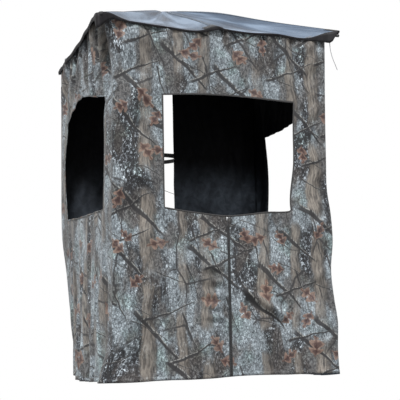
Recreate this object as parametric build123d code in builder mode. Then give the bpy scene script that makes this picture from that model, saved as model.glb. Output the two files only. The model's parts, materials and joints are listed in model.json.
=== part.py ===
from build123d import *
import os
from math import acos, asin, atan2, cos, degrees, hypot, pi, radians, sin, tan

# A cabin blind with a rib roof that straps to a tree. Millimetres.
# Origin: on the tree's axis at the middle of the upper strap. +Z up, the front faces -Y.

# ---- driving dimensions ----
TREE_R = 135                # the tree the straps are drawn round
HEM_Z = -2200               # lower edge of the cabin
WALL_TOP_Z = -345
FRONT_Y = -1175             # outer face of the front wall
FRONT_X = 627               # half width at the front corners
REAR_X, REAR_Y = 650, -105  # rear corners
CLOTH = 2                   # thickness of a fabric panel

SILL_Z, LINTEL_Z = -1305, -705      # every window
SILL_SAG = 46               # how far the front sill hangs at the zipper
WIN_L, WIN_R = -338, 405            # front window
SIDE_WIN = (140, 870)               # side window, along the wall from its front corner
DOOR_HINGE_L, DOOR_HINGE_R = -335, 375
ZIP_X = 15                          # where the two door halves meet

HUB_Z = 34                  # height of the rib pivots
PIVOT_R = 4                 # pivot bolt radius
CLEVIS_IN, CLEVIS_T = 8.3, 4        # half gap of a clevis, thickness of a cheek
RIB_R = 6.35                # rib tube
TUBE_WALL = 1.2
RIB_SAG = 12                # how far a rib bows above its chord
SIDE_TIP = (690, -1235, -326)
CENTRE_TIP = (0, -1188, -332)
SIDE_PIVOT = (69.3, -215)
CENTRE_PIVOT = (0, -213)

BAR_R = 7                   # rear hanger bar
BAR_Y, BAR_Z, BAR_BEND_X = -173, 34, 85
BAR_TIP = (655, -85, -346)

WEB_W, WEB_T = 25, 2.5      # webbing
LOWER_STRAP_Z = -844
SLOT_X = 62                 # half width of the tree slot

os.makedirs("parts", exist_ok=True)


def save(built, name):
    built.part.label = name
    export_step(built.part, f"parts/{name}.step")


def save_mirrored(built, name):
    """Write the mirror image of a right-hand piece as its left-hand twin."""
    with BuildPart() as twin:
        add(mirror(built.part, about=Plane.YZ))
    save(twin, name)


# ---- tree bracket: a plate with two flanges, standing off the bark on rubber pads ----
PLATE_HALF, PLATE_T = 50, 4
PLATE_FRONT_Y = -152
FLANGE_BACK_Y = -135
PLATE_TOP, PLATE_BOTTOM = 56, -80
PAD_W, PAD_X = 22, 34
PAD_FITS = ((22, 34), (-76, 50))    # lower end and height of each pair of pads
BARK_GAP = 0.4                      # between a pad and the tree's drawn surface

with BuildPart() as tree_bracket:
    with BuildSketch(Plane.XY.offset(PLATE_BOTTOM)):
        with Locations((0, (PLATE_FRONT_Y + FLANGE_BACK_Y) / 2)):
            Rectangle(2 * PLATE_HALF, FLANGE_BACK_Y - PLATE_FRONT_Y)
        with Locations((0, (PLATE_FRONT_Y + PLATE_T + FLANGE_BACK_Y) / 2)):
            Rectangle(2 * (PLATE_HALF - PLATE_T), FLANGE_BACK_Y - PLATE_FRONT_Y - PLATE_T, mode=Mode.SUBTRACT)
    extrude(amount=PLATE_TOP - PLATE_BOTTOM)
save(tree_bracket, "tree_bracket")

with BuildPart() as bracket_pads:
    for bottom, height in PAD_FITS:
        with BuildSketch(Plane.XY.offset(bottom)):
            with Locations((-PAD_X, FLANGE_BACK_Y), (PAD_X, FLANGE_BACK_Y)):
                Rectangle(PAD_W, 2 * (FLANGE_BACK_Y - PLATE_T - PLATE_FRONT_Y))
        extrude(amount=height)
    with BuildSketch(Plane.XY.offset(PLATE_BOTTOM - 5)):
        Circle(TREE_R + BARK_GAP)
    extrude(amount=PLATE_TOP - PLATE_BOTTOM + 10, mode=Mode.SUBTRACT)
save(bracket_pads, "bracket_pads")


# ---- roof hub: a back plate, three clevises, a web, and the seat of the rear bar ----
def heading(pivot, tip):
    """Unit direction in plan from a rib's pivot to its tip."""
    run = hypot(tip[0] - pivot[0], tip[1] - pivot[1])
    return ((tip[0] - pivot[0]) / run, (tip[1] - pivot[1]) / run)


def rib_plane(pivot, tip):
    """Local x runs outward along the rib, local y is up, local z is the pivot's axis."""
    dx, dy = heading(pivot, tip)
    return Plane(origin=(pivot[0], pivot[1], HUB_Z), x_dir=(dx, dy, 0), z_dir=(dy, -dx, 0))


def mirrored(point):
    return (-point[0],) + tuple(point[1:])


RIBS = {
    "left": (mirrored(SIDE_PIVOT), mirrored(SIDE_TIP)),
    "centre": (CENTRE_PIVOT, CENTRE_TIP),
    "right": (SIDE_PIVOT, SIDE_TIP),
}
RIB_PLANES = {side: rib_plane(*ends) for side, ends in RIBS.items()}
KNOB_SIDE = {"left": 1, "centre": -1, "right": -1}      # sign along the pivot axis
LUG_R = 15                          # round end of a clevis cheek
LUG_LOW, LUG_HIGH, LUG_BACK = -15, 20, 84
HUB_LOW, HUB_HIGH = 15, 55          # lowest and highest face of the hub's back plate
HUB_BACK_Y = -152
ROOF_WEB_T = 3                      # the flat web that joins the cheeks on top
BORE_REACH = 100                    # longer than any hole through the hub

with BuildPart() as roof_hub:
    with BuildSketch(Plane.XY.offset(HUB_LOW)):
        with Locations((0, HUB_BACK_Y - PLATE_T / 2)):
            Rectangle(2 * PLATE_HALF, PLATE_T)
    extrude(amount=HUB_HIGH - HUB_LOW)
    for plane in RIB_PLANES.values():
        for start in (CLEVIS_IN, -CLEVIS_IN - CLEVIS_T):
            with BuildSketch(plane.offset(start)):
                Circle(LUG_R)
                with Locations((-LUG_BACK / 2, (LUG_LOW + LUG_HIGH) / 2)):
                    Rectangle(LUG_BACK, LUG_HIGH - LUG_LOW)
            extrude(amount=CLEVIS_T)
    with BuildSketch(Plane.XY.offset(HUB_HIGH - ROOF_WEB_T)):
        with BuildLine():
            Polyline((-50, -155), (-80, -205), (80, -205), (50, -155), close=True)
        make_face()
    extrude(amount=ROOF_WEB_T)
    with BuildSketch(Plane.XY):
        with Locations((0, HUB_BACK_Y + BORE_REACH / 2)):
            Rectangle(3 * BORE_REACH, BORE_REACH)
    extrude(amount=BORE_REACH, mode=Mode.SUBTRACT)
    for plane in RIB_PLANES.values():
        with BuildSketch(plane.offset(-2 * CLEVIS_IN)):
            Circle(PIVOT_R)
        extrude(amount=4 * CLEVIS_IN, mode=Mode.SUBTRACT)
    with BuildSketch(Plane.YZ.offset(-BORE_REACH)):
        with Locations((BAR_Y, BAR_Z)):
            Circle(BAR_R + 0.1)
    extrude(amount=2 * BORE_REACH, mode=Mode.SUBTRACT)
save(roof_hub, "roof_hub")

CROWN_L, CROWN_W, CROWN_H, CROWN_Y = 84, 46, 17, -180
CROWN_CORNER, CROWN_EDGE = 14, 8
with BuildPart() as hub_crown:
    with BuildSketch(Plane.XY.offset(HUB_HIGH + 0.1)):
        with Locations((0, CROWN_Y)):
            RectangleRounded(CROWN_L, CROWN_W, CROWN_CORNER)
    extrude(amount=CROWN_H)
    fillet(hub_crown.faces().sort_by(Axis.Z)[-1].edges(), radius=CROWN_EDGE)
save(hub_crown, "hub_crown")

HEAD_T, HEAD_R = 5, 7
BOLT_REACH = 9              # how far a pivot bolt stands out of its clevis, inside the knob
BOLT_FIT = 0.03             # radial play of a bolt in a bore
CHEEK_OUT = CLEVIS_IN + CLEVIS_T
with BuildPart() as pivot_bolts:
    for side, plane in RIB_PLANES.items():
        sign = KNOB_SIDE[side]
        with BuildSketch(plane.offset(-sign * CHEEK_OUT)):
            Circle(PIVOT_R - BOLT_FIT)
        extrude(amount=sign * (2 * CHEEK_OUT + BOLT_REACH))
        with BuildSketch(plane.offset(-sign * (CHEEK_OUT + 0.1))):
            RegularPolygon(HEAD_R, 6)
        extrude(amount=-sign * HEAD_T)
        with BuildSketch(plane.offset(-sign * (CHEEK_OUT + 0.1))):
            Circle(PIVOT_R - BOLT_FIT)
        extrude(amount=sign * 1)
save(pivot_bolts, "pivot_bolts")

# Clamp knobs: a boss with two wings, turning on the end of each pivot bolt.
KNOB_R, KNOB_T = 8, 11
WING_L, WING_W = 30, 8
KNOB_GAP, KNOB_BORE_START = 0.3, 12     # from the cheek, and from the pivot's middle
for side, plane in RIB_PLANES.items():
    sign = KNOB_SIDE[side]
    with BuildPart() as knob:
        with BuildSketch(plane.offset(sign * (CHEEK_OUT + KNOB_GAP))):
            Circle(KNOB_R)
            SlotOverall(WING_L, WING_W)
        extrude(amount=sign * KNOB_T)
        with BuildSketch(plane.offset(sign * KNOB_BORE_START)):
            Circle(PIVOT_R + BOLT_FIT)
        extrude(amount=sign * (BOLT_REACH + 1), mode=Mode.SUBTRACT)
    save(knob, f"clamp_knob_{side}")


# ---- roof ribs: root fitting, bowed tube, tip cap ----
def rib_curve(pivot, tip):
    """The rib's circle in its own plane: centre and radius, from the pivot to the tip."""
    run, drop = hypot(tip[0] - pivot[0], tip[1] - pivot[1]), tip[2] - HUB_Z
    chord = hypot(run, drop)
    radius = (chord**2 / 4 + RIB_SAG**2) / (2 * RIB_SAG)
    reach = radius - RIB_SAG
    centre = (run / 2 + drop / chord * reach, drop / 2 - run / chord * reach)
    return centre, radius, chord


def on_curve(centre, radius, chord, share):
    """The point at a share of the way along the rib."""
    start = atan2(-centre[1], -centre[0])
    turn = -2 * asin(chord / 2 / radius) * share
    return (centre[0] + radius * cos(start + turn), centre[1] + radius * sin(start + turn))


TUBE_START = 22             # the tube starts this far from its pivot, inside the root's socket
TUBE_SHARE = 0.99           # and ends at this share of the rib
EYE_R, ROOT_T, ROOT_H = 10, 16, 17      # the root's eye on the pivot, its thickness and height
SOCKET_START, SOCKET_L, SOCKET_WALL = 20, 38, 2.6
SOCKET_FIT = 0.15
CAP_L, CAP_IN, CAP_WALL, CAP_FIT, CAP_EDGE = 37, 26, 2.4, 0.12, 5
for side, (pivot, tip) in RIBS.items():
    plane = RIB_PLANES[side]
    centre, radius, chord = rib_curve(pivot, tip)
    root_end = on_curve(centre, radius, chord, TUBE_START / chord)
    middle = on_curve(centre, radius, chord, 0.5)
    tube_end = on_curve(centre, radius, chord, TUBE_SHARE)
    near_end = on_curve(centre, radius, chord, TUBE_SHARE - 0.02)
    slope = atan2(root_end[1], root_end[0])
    last = atan2(tube_end[1] - near_end[1], tube_end[0] - near_end[0])

    with BuildPart() as rib_tube:
        with BuildLine(plane) as path:
            ThreePointArc(root_end, middle, tube_end)
        with BuildSketch(Plane(origin=path.line @ 0, z_dir=path.line % 0)):
            Circle(RIB_R)
            Circle(RIB_R - TUBE_WALL, mode=Mode.SUBTRACT)
        sweep(path=path.line)
    save(rib_tube, f"rib_tube_{side}")

    along = Plane(origin=plane.from_local_coords((0, 0, 0)),
                  z_dir=plane.x_dir * cos(slope) + Vector(0, 0, 1) * sin(slope))
    with BuildPart() as rib_root:
        with BuildSketch(plane.offset(-ROOT_T / 2)):
            Circle(EYE_R)
            with Locations(Location((0, 0), degrees(slope))):
                with Locations((TUBE_START / 2 + 1, 0)):
                    Rectangle(TUBE_START + 2, ROOT_H)
        extrude(amount=ROOT_T)
        with BuildSketch(along.offset(SOCKET_START)):
            Circle(RIB_R + SOCKET_WALL)
        extrude(amount=SOCKET_L)
        with BuildSketch(along.offset(SOCKET_START + 1)):
            Circle(RIB_R + SOCKET_FIT)
        extrude(amount=SOCKET_L + 1, mode=Mode.SUBTRACT)
        with BuildSketch(plane.offset(-ROOT_T)):
            Circle(PIVOT_R + BOLT_FIT)
        extrude(amount=2 * ROOT_T, mode=Mode.SUBTRACT)
    save(rib_root, f"rib_root_{side}")

    end_plane = Plane(origin=plane.from_local_coords((*tube_end, 0)),
                      z_dir=plane.x_dir * cos(last) + Vector(0, 0, 1) * sin(last))
    with BuildPart() as rib_tip:
        with BuildSketch(end_plane.offset(-CAP_IN)):
            Circle(RIB_R + CAP_WALL)
        extrude(amount=CAP_L)
        fillet(rib_tip.faces().sort_by(Axis(end_plane.origin, end_plane.z_dir))[-1].edges(), radius=CAP_EDGE)
        with BuildSketch(end_plane.offset(-CAP_IN - 1)):
            Circle(RIB_R + CAP_FIT)
        extrude(amount=CAP_IN + 1.2, mode=Mode.SUBTRACT)
    save(rib_tip, f"rib_tip_{side}")

# ---- rear hanger bar: one bent tube through the hub, with a cap on each end ----
BAR_ROUTE = [mirrored(BAR_TIP), (-BAR_BEND_X, BAR_Y, BAR_Z), (BAR_BEND_X, BAR_Y, BAR_Z), BAR_TIP]
BAR_BEND_R = 60
BAR_CAP_L, BAR_CAP_IN, BAR_CAP_WALL = 26, 22, 2.2
with BuildPart() as rear_bar:
    with BuildLine() as bar_path:
        FilletPolyline(*BAR_ROUTE, radius=BAR_BEND_R)
    with BuildSketch(Plane(origin=bar_path.line @ 0, z_dir=bar_path.line % 0)):
        Circle(BAR_R)
        Circle(BAR_R - TUBE_WALL, mode=Mode.SUBTRACT)
    sweep(path=bar_path.line)
save(rear_bar, "rear_bar")

with BuildPart() as rear_bar_caps:
    for end, before in ((BAR_ROUTE[0], BAR_ROUTE[1]), (BAR_ROUTE[3], BAR_ROUTE[2])):
        out = Plane(origin=end, z_dir=Vector(*end) - Vector(*before))
        with BuildSketch(out.offset(-BAR_CAP_IN)):
            Circle(BAR_R + BAR_CAP_WALL)
        extrude(amount=BAR_CAP_L)
        with BuildSketch(out.offset(-BAR_CAP_IN - 3)):
            Circle(BAR_R + CAP_FIT)
        extrude(amount=BAR_CAP_IN + 3.2, mode=Mode.SUBTRACT)
save(rear_bar_caps, "rear_bar_caps")


# ---- straps ----
def strap_outline(radius, corner):
    """Round the tree and straight across the bracket, between two mirrored corners."""
    x, y = corner
    angle = atan2(y, x) + acos(radius / hypot(x, y))
    tangent = (radius * cos(angle), radius * sin(angle))
    ThreePointArc(tangent, (0, radius), mirrored(tangent))
    Polyline(mirrored(tangent), mirrored(corner), corner, tangent)


STRAP_PLANE = Plane.XY.offset(-WEB_W / 2)
with BuildPart() as upper_strap:
    with BuildSketch(STRAP_PLANE):
        with BuildLine():
            strap_outline(TREE_R + WEB_T, (PLATE_HALF + 2.2, PLATE_FRONT_Y - 0.2 - WEB_T))
        make_face()
    extrude(amount=WEB_W)
    with BuildSketch(STRAP_PLANE):
        with BuildLine():
            strap_outline(TREE_R, (PLATE_HALF + 1, PLATE_FRONT_Y - 0.2))
        make_face()
    extrude(amount=WEB_W, mode=Mode.SUBTRACT)
save(upper_strap, "upper_strap")

with BuildPart() as lower_strap:
    with BuildSketch(STRAP_PLANE.offset(LOWER_STRAP_Z)):
        Circle(TREE_R + WEB_T)
        Circle(TREE_R, mode=Mode.SUBTRACT)
    extrude(amount=WEB_W)
save(lower_strap, "lower_strap")

# The cross strap runs from rear corner to rear corner and lies on the lower strap.
CROSS_R = TREE_R + WEB_T + 0.1 + WEB_T / 2
CROSS_END = (636, -98)
cross_angle = atan2(CROSS_END[1], CROSS_END[0]) - acos(CROSS_R / hypot(*CROSS_END))
CROSS_TANGENT = (CROSS_R * cos(cross_angle), CROSS_R * sin(cross_angle))
with BuildPart() as rear_cross_strap:
    with BuildSketch(STRAP_PLANE.offset(LOWER_STRAP_Z)):
        with BuildLine():
            Line(mirrored(CROSS_END), mirrored(CROSS_TANGENT))
            ThreePointArc(mirrored(CROSS_TANGENT), (0, -CROSS_R), CROSS_TANGENT)
            Line(CROSS_TANGENT, CROSS_END)
        trace(line_width=WEB_T)
    extrude(amount=WEB_W)
save(rear_cross_strap, "rear_cross_strap")

# Cam buckles: a frame with two cheeks and a pin, and a sprung lever on the pin.
BUCKLE_X = -(TREE_R + WEB_T + 0.2)
PIN_X, PIN_Y, PIN_R = BUCKLE_X - 9, -8, 2.5
CHEEK_L, CHEEK_W, CHEEK_T = 38, 14, 3
BUCKLE_HALF = 16.5          # half the height over the cheeks
BASE_L, BASE_T = 30, 1.6
LEVER_HALF, LEVER_T, LEVER_L, EYE_WALL = 12.8, 3, 36, 3
for name, height in (("upper", 0), ("lower", LOWER_STRAP_Z)):
    with BuildPart() as buckle_frame:
        for low in (BUCKLE_HALF - CHEEK_T, -BUCKLE_HALF):
            with BuildSketch(Plane.XY.offset(height + low)):
                with Locations((BUCKLE_X - CHEEK_W / 2, 0)):
                    RectangleRounded(CHEEK_W, CHEEK_L, 4)
            extrude(amount=CHEEK_T)
        with BuildSketch(Plane.XY.offset(height - BUCKLE_HALF)):
            with Locations((BUCKLE_X - BASE_T / 2, 0)):
                Rectangle(BASE_T, BASE_L)
            with Locations((PIN_X, PIN_Y)):
                Circle(PIN_R)
        extrude(amount=2 * BUCKLE_HALF)
    save(buckle_frame, f"{name}_buckle_frame")
    with BuildPart() as buckle_lever:
        with BuildSketch(Plane.XY.offset(height - LEVER_HALF)):
            with Locations((PIN_X, PIN_Y)):
                Circle(PIN_R + EYE_WALL)
            with Locations((PIN_X - 4, PIN_Y + LEVER_L / 2)):
                Rectangle(LEVER_T, LEVER_L)
            with Locations((PIN_X, PIN_Y)):
                Circle(PIN_R + 0.05, mode=Mode.SUBTRACT)
        extrude(amount=2 * LEVER_HALF)
    save(buckle_lever, f"{name}_buckle_lever")

# ---- roof canopy: flat panels sewn together over the ribs and the rear bar ----
CREST = (45, -175, 88)
REAR_CREST = (45, -158, 84)
ROOF_TIP = (690, -1235, -305)
ROOF_FRONT_MID = (345, -1190, -334)
ROOF_FRONT = (0, -1195, -322)
ROOF_SIDE_MID = (652, -660, -298)
ROOF_REAR_TIP = (662, -80, -331)
RIGHT_FACETS = [
    (CREST, ROOF_FRONT, ROOF_FRONT_MID),
    (CREST, ROOF_FRONT_MID, ROOF_TIP),
    (CREST, ROOF_TIP, ROOF_SIDE_MID),
    (CREST, ROOF_SIDE_MID, ROOF_REAR_TIP),
    (CREST, ROOF_REAR_TIP, REAR_CREST),
]
ROOF_T = 2.5


def flat_face(points):
    return Face(Wire.make_polygon([Vector(*point) for point in points], close=True))


def facets():
    """Every facet of the roof, as its corner points."""
    both = RIGHT_FACETS + [[mirrored(point) for point in facet] for facet in RIGHT_FACETS]
    both.append([CREST, mirrored(CREST), ROOF_FRONT])
    both.append([CREST, REAR_CREST, mirrored(REAR_CREST), mirrored(CREST)])
    return both


# Each sewn panel is a plate of its own, so that the space under the roof stays open.
plates = [Solid.extrude(flat_face(points), Vector(0, 0, -ROOF_T)) for points in facets()]
roof_canopy = Compound(label="roof_canopy", children=plates)
export_step(roof_canopy, "parts/roof_canopy.step")

# ---- walls ----
FRONT_PLANE = Plane(origin=(0, FRONT_Y, 0), x_dir=(1, 0, 0), z_dir=(0, -1, 0))
side_run = hypot(REAR_X - FRONT_X, REAR_Y - FRONT_Y)
SIDE_PLANE = Plane(origin=(FRONT_X, FRONT_Y, 0), x_dir=(REAR_X - FRONT_X, REAR_Y - FRONT_Y, 0),
                   z_dir=(REAR_Y - FRONT_Y, FRONT_X - REAR_X, 0))


def panel(left, bottom, right, top, radius=0):
    """A rectangle given by its edges, in the plane's own x and y."""
    with Locations(((left + right) / 2, (bottom + top) / 2)):
        if radius:
            RectangleRounded(right - left, top - bottom, radius)
        else:
            Rectangle(right - left, top - bottom)


def cut_panel(left, bottom, right, top, radius=0):
    with Locations(((left + right) / 2, (bottom + top) / 2)):
        if radius:
            RectangleRounded(right - left, top - bottom, radius, mode=Mode.SUBTRACT)
        else:
            Rectangle(right - left, top - bottom, mode=Mode.SUBTRACT)


SEAM = 3                    # between a door's edge and its hinge line, and at the corners
SIDE_WIN_CORNER = 40
with BuildPart() as front_wall:
    with BuildSketch(FRONT_PLANE):
        panel(-FRONT_X, HEM_Z, FRONT_X, WALL_TOP_Z)
        cut_panel(WIN_L, SILL_Z, WIN_R, LINTEL_Z)
        cut_panel(DOOR_HINGE_L - SEAM, HEM_Z - 10, DOOR_HINGE_R + SEAM, SILL_Z)
    extrude(amount=-CLOTH)
save(front_wall, "front_wall")

with BuildPart() as side_wall_right:
    with BuildSketch(SIDE_PLANE):
        panel(SEAM, HEM_Z, side_run, WALL_TOP_Z)
        cut_panel(SIDE_WIN[0], SILL_Z, SIDE_WIN[1], LINTEL_Z, radius=SIDE_WIN_CORNER)
    extrude(amount=-CLOTH)
save(side_wall_right, "side_wall_right")
save_mirrored(side_wall_right, "side_wall_left")

# The rear is closed by a fixed gable under the bar and a flap that swings in, each side of the slot.
REAR_HINGE = (646, -106.5)
REAR_INNER = (SLOT_X, -150)
rear_run = hypot(REAR_HINGE[0] - REAR_INNER[0], REAR_HINGE[1] - REAR_INNER[1])
REAR_PLANE = Plane(origin=(*REAR_HINGE, 0),
                   x_dir=(REAR_INNER[0] - REAR_HINGE[0], REAR_INNER[1] - REAR_HINGE[1], 0),
                   z_dir=(REAR_INNER[1] - REAR_HINGE[1], REAR_HINGE[0] - REAR_INNER[0], 0))
GABLE_LOW, GABLE_PEAK = WALL_TOP_Z - 7, 12
GABLE_START, GABLE_STEP = 8, 24                # from the corner, and the notch beside the bracket
GABLE_INNER_TOP, GABLE_STEP_Z = -40, -18
with BuildPart() as rear_gable_right:
    with BuildSketch(REAR_PLANE):
        with BuildLine():
            Polyline((GABLE_START, GABLE_LOW), (rear_run, GABLE_LOW), (rear_run, GABLE_INNER_TOP),
                     (rear_run - GABLE_STEP, GABLE_STEP_Z), (rear_run - GABLE_STEP, GABLE_PEAK), close=True)
        make_face()
    extrude(amount=CLOTH / 2, both=True)
save(rear_gable_right, "rear_gable_right")
save_mirrored(rear_gable_right, "rear_gable_left")

with BuildPart() as rear_flap_right:
    with BuildSketch(REAR_PLANE):
        panel(2, HEM_Z + 2, rear_run, GABLE_LOW - 8)
    extrude(amount=CLOTH / 2, both=True)
save(rear_flap_right, "rear_flap_right")
save_mirrored(rear_flap_right, "rear_flap_left")

# ---- doors below the front window, and their zipper ----
DOOR_TOP = SILL_Z - 2
DOOR_LOW = HEM_Z + 2
for name, left, right in (("left", DOOR_HINGE_L + SEAM, ZIP_X - 1), ("right", ZIP_X + 1, DOOR_HINGE_R - SEAM)):
    with BuildPart() as door:
        with BuildSketch(FRONT_PLANE):
            panel(left, DOOR_LOW, right, DOOR_TOP)
        extrude(amount=-CLOTH)
    save(door, f"door_{name}")

ZIP_TOP = SILL_Z - SILL_SAG - 5
TAPE_W, TAPE_T = 14, 1.3
TAPE_LIFT = 0.1             # the tapes lie on the cloth
for name, left, right in (("left", ZIP_X - TAPE_W, ZIP_X - 0.3), ("right", ZIP_X + 0.3, ZIP_X + TAPE_W)):
    with BuildPart() as tape:
        with BuildSketch(FRONT_PLANE.offset(TAPE_LIFT)):
            panel(left, DOOR_LOW, right, ZIP_TOP)
        extrude(amount=TAPE_T)
    save(tape, f"zipper_tape_{name}")

SLIDER_TOP = ZIP_TOP - 4
SLIDER_L, SLIDER_W, SLIDER_T, SLIDER_EDGE = 20, 11, 3, 3
SLIDER_LIFT = TAPE_LIFT + TAPE_T + 0.2
SLIDER_RIGHT = ZIP_X - 0.4
BAIL_Z, BAIL_Y, BAIL_R = SLIDER_TOP - 7, FRONT_Y - SLIDER_LIFT - 6.5, 1
BAIL_POST_W, BAIL_POST_H = 2.5, 5
with BuildPart() as zipper_slider:
    with BuildSketch(FRONT_PLANE.offset(SLIDER_LIFT)):
        panel(SLIDER_RIGHT - SLIDER_W, SLIDER_TOP - SLIDER_L, SLIDER_RIGHT, SLIDER_TOP, radius=SLIDER_EDGE)
    extrude(amount=SLIDER_T)
    for left in (SLIDER_RIGHT - SLIDER_W + 0.3, SLIDER_RIGHT - BAIL_POST_W - 0.3):
        with BuildSketch(Plane.YZ.offset(left)):
            with Locations((BAIL_Y + 2, BAIL_Z)):
                Rectangle(7, BAIL_POST_H)
        extrude(amount=BAIL_POST_W)
    with BuildSketch(Plane.YZ.offset(SLIDER_RIGHT - SLIDER_W + 2)):
        with Locations((BAIL_Y, BAIL_Z)):
            Circle(BAIL_R)
    extrude(amount=SLIDER_W - 4)
save(zipper_slider, "zipper_slider")

PULL_L, PULL_W, PULL_T, PULL_EYE_R = 44, 4.5, 2, 2.4
with BuildPart() as zipper_pull:
    with BuildSketch(Plane.YZ.offset(SLIDER_RIGHT - SLIDER_W / 2 - PULL_W / 2)):
        with Locations((BAIL_Y, BAIL_Z)):
            Circle(PULL_EYE_R)
        with Locations((BAIL_Y - 1, BAIL_Z - PULL_L / 2)):
            Rectangle(PULL_T, PULL_L)
        with Locations((BAIL_Y, BAIL_Z)):
            Circle(BAIL_R + 0.06, mode=Mode.SUBTRACT)
    extrude(amount=PULL_W)
save(zipper_pull, "zipper_pull")

# ---- window flaps: hinged on the sill, hanging inside ----
FLAP_IN = 9                 # hinge line behind the wall's outer face
FLAP_TOP_Z = LINTEL_Z - 10  # upper edge of a closed flap
FLAP_INSET = 14             # between a front flap's outer edge and its door's hinge
FRONT_FLAP_HINGE_Z = SILL_Z - SILL_SAG - 2      # below the sagging sill
SIDE_FLAP_HINGE_Z = SILL_Z - 4


def hanging_flap(name, plane, left, right, hinge_z):
    with BuildPart() as flap:
        with BuildSketch(plane.offset(-FLAP_IN - CLOTH / 2)):
            panel(left, 2 * hinge_z - FLAP_TOP_Z, right, hinge_z - 2)
        extrude(amount=CLOTH)
    save(flap, name)
    return flap


hanging_flap("front_flap_left", FRONT_PLANE, DOOR_HINGE_L + FLAP_INSET, ZIP_X - 4, FRONT_FLAP_HINGE_Z)
hanging_flap("front_flap_right", FRONT_PLANE, ZIP_X + 4, DOOR_HINGE_R - FLAP_INSET, FRONT_FLAP_HINGE_Z)
side_flap = hanging_flap("side_flap_right", SIDE_PLANE, SIDE_WIN[0] + 5, SIDE_WIN[1] - 5, SIDE_FLAP_HINGE_Z)
save_mirrored(side_flap, "side_flap_left")


# ---- cords: straight runs joined by tangent arcs ----
def cord_tube(name, route, cord_r):
    """A round tube along the route, each arc as large as its two runs allow."""
    points = [Vector(*point) for point in route]
    radii = []
    for before, here, after in zip(points, points[1:], points[2:]):
        turn = radians((here - before).get_angle(after - here))
        shorter = min((here - before).length, (after - here).length)
        radii.append(0.45 * shorter / tan(turn / 2))
    print(name, "radii", [round(radius) for radius in radii])
    with BuildPart() as cord:
        with BuildLine() as path:
            FilletPolyline(*points, radius=radii)
        with BuildSketch(Plane(origin=path.line @ 0, z_dir=path.line % 0)):
            Circle(cord_r)
        sweep(path=path.line)
    length = sum(edge.length for edge in path.edges())
    print(name, "length", round(length), "volume share", round(cord.part.volume / (pi * cord_r**2 * length), 3))
    save(cord, name)


CORNER_CORD = [(652, -1192, -352), (653, -1193, -386), (658, -1194, -420), (668, -1194, -452),
               (682, -1193, -482), (695, -1191, -512)]
cord_tube("corner_tie_cord", CORNER_CORD, 2)

SLOT_CORD = [(170, -147.5, -1158), (132, -151, -1128), (98, -155, -1108), (66, -157, -1096), (34, -156, -1086),
             (4, -154, -1075), (-24, -152, -1069), (-50, -151, -1068)]
cord_tube("slot_tie_cord", SLOT_CORD, 1.5)
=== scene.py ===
"""A tree-stand blind: a camouflage cabin with a rib roof, hung on a trunk. Metres, in the CAD's frame."""
import json
from math import cos, pi, radians, sin

import bmesh
import bpy
import numpy as np
from mathutils import Matrix, Vector


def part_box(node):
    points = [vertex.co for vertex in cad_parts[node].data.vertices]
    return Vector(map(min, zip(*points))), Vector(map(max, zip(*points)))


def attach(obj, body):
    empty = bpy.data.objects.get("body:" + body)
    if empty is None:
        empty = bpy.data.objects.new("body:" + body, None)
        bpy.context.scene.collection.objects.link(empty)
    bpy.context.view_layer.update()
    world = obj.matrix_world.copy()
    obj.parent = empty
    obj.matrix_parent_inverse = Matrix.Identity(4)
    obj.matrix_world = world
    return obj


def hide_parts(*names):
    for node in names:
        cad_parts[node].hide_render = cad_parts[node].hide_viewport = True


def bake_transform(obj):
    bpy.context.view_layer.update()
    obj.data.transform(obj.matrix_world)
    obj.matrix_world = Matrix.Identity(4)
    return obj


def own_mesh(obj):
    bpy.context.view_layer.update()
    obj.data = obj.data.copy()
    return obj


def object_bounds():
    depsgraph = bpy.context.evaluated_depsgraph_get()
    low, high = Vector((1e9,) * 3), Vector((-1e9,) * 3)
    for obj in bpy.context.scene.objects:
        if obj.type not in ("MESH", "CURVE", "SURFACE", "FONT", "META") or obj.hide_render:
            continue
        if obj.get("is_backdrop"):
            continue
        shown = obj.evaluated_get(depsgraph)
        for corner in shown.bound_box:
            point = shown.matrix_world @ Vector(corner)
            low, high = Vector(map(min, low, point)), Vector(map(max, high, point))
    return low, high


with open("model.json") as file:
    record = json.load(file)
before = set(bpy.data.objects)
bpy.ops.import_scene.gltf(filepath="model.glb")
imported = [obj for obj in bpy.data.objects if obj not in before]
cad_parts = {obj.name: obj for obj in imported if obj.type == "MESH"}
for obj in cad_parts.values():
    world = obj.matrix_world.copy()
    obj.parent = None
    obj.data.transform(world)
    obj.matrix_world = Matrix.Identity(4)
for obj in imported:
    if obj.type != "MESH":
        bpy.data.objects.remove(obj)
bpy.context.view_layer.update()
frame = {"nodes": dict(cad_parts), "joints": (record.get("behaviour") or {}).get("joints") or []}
NODES = frame["nodes"]
JOINTS = {joint["name"]: joint for joint in frame["joints"]}


def make(name, data):
    """A new object in the scene, made of this data."""
    made = bpy.data.objects.new(name, data)
    bpy.context.scene.collection.objects.link(made)
    return made


# ---- camera: low in front of the left corner, looking up at the cabin ----
CAMERA_AT = Vector((-1.901, -5.945, -1.953))
YAW, PITCH, ROLL = radians(20.26), radians(7.62), radians(-1.11)
LENS = 87.75

forward = Vector((sin(YAW) * cos(PITCH), cos(YAW) * cos(PITCH), sin(PITCH)))
level = Vector((cos(YAW), -sin(YAW), 0))
right = level * cos(ROLL) + level.cross(forward) * sin(ROLL)
camera = make("camera", bpy.data.cameras.new("camera"))
camera.data.lens = LENS
camera.matrix_world = Matrix((right, right.cross(forward), -forward)).transposed().to_4x4()
camera.matrix_world.translation = CAMERA_AT
bpy.context.scene.camera = camera


# ---- small numbers ----
def ease(value, start, end):
    """0 before start and 1 after end, smooth between."""
    share = np.clip((value - start) / (end - start), 0, 1)
    return share * share * (3 - 2 * share)


def hump(value, middle, width):
    """1 at the middle, falling away smoothly on both sides."""
    return np.exp(-(((value - middle) / width) ** 2))


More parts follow.
